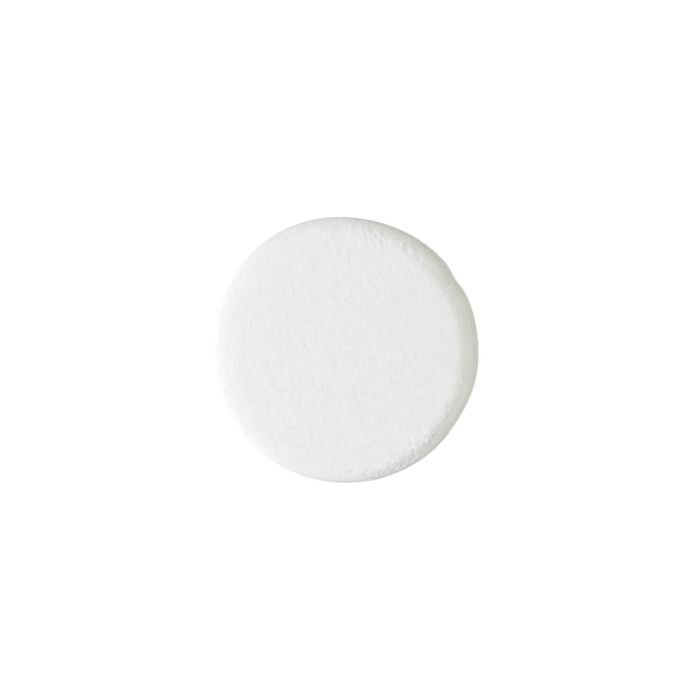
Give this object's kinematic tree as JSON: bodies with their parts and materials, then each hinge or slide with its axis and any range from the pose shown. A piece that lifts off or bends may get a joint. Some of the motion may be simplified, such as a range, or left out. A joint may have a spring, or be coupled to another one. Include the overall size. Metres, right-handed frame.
{
  "type": "powder puff",
  "caption": "Round soft powder puff with a low-crowned velour face, a wall drawn in at its seam and a flat velour back, for picking up loose powder and patting it on skin.",
  "frame": {"origin": "centre of the flat back, which the puff rests on", "axes": "+Z along the puff's axis from its back to its powdering face; +X towards the side of the wall that the picture shows"},
  "size_m": [0.07, 0.07, 0.014],
  "materials": {
    "velour": "matte",
    "wadding": "matte",
    "foam": "matte",
    "thread": "matte"
  },
  "bodies": {
    "root": {"front_cover": "velour", "rear_cover": "velour", "front_wadding": "wadding", "rear_wadding": "wadding", "foam_core": "foam", "needle_thread": "thread", "bobbin_thread": "thread", "closing_thread": "thread"}
  },
  "joints": []
}
